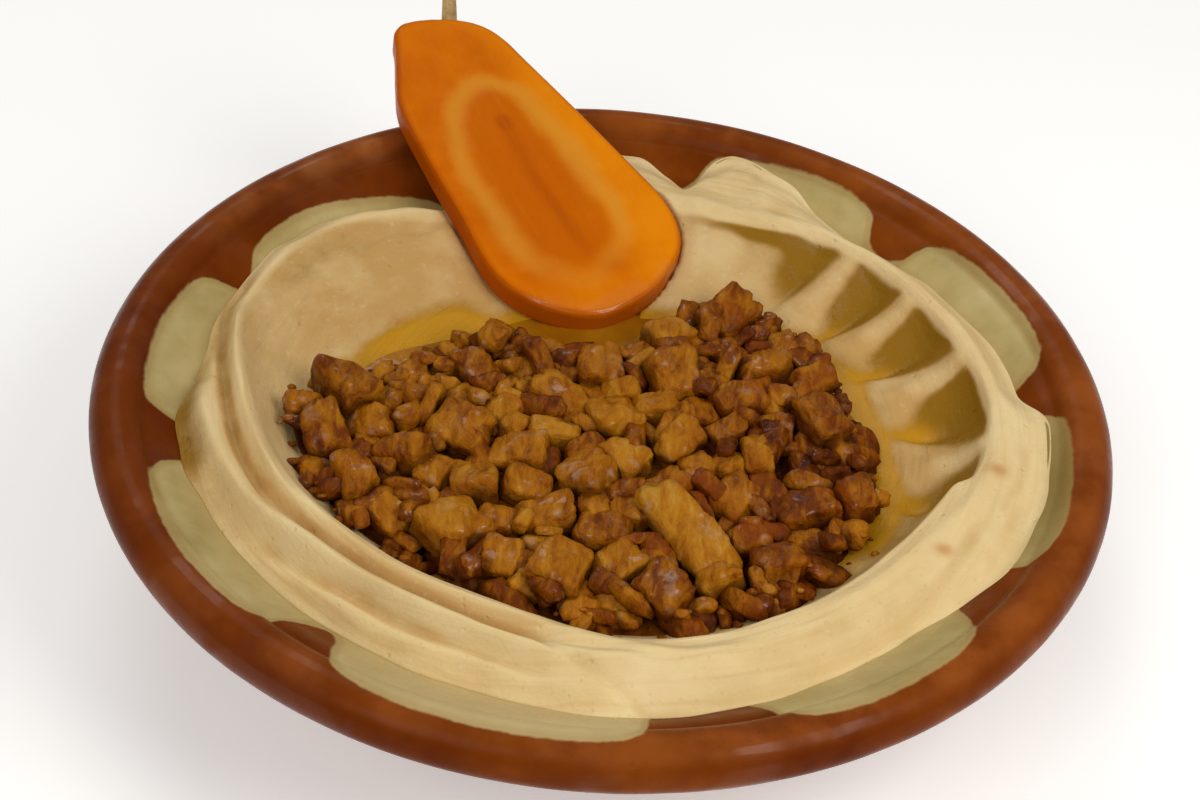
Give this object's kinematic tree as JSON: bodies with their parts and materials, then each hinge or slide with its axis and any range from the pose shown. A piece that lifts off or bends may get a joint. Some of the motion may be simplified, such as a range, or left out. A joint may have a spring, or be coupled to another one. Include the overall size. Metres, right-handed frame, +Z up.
{
  "type": "bowl of hummus",
  "caption": "Shallow round glazed clay bowl of spooned hummus with a heap of fried chopped meat, a ring of oil and a leaning slice of carrot.",
  "frame": {"origin": "middle of the bowl's flat foot, which is the face it rests on", "axes": "+Z up along the bowl's axis, -Y towards the viewer of the dish, +X to its right; the carrot slice leans out over the lip at the back, towards +Y and a little to -X"},
  "size_m": [0.18, 0.1956, 0.0542],
  "materials": {
    "bowl_glaze": "glossy brown glaze with pale green scalloped patches inside",
    "hummus": "satin cream paste",
    "meat": "moist browned meat",
    "oil": "golden oil",
    "carrot": "moist orange carrot"
  },
  "bodies": {
    "root": {"bowl": "bowl_glaze", "hummus": "hummus", "meat": "meat", "oil": "oil", "carrot": "carrot"}
  },
  "joints": []
}
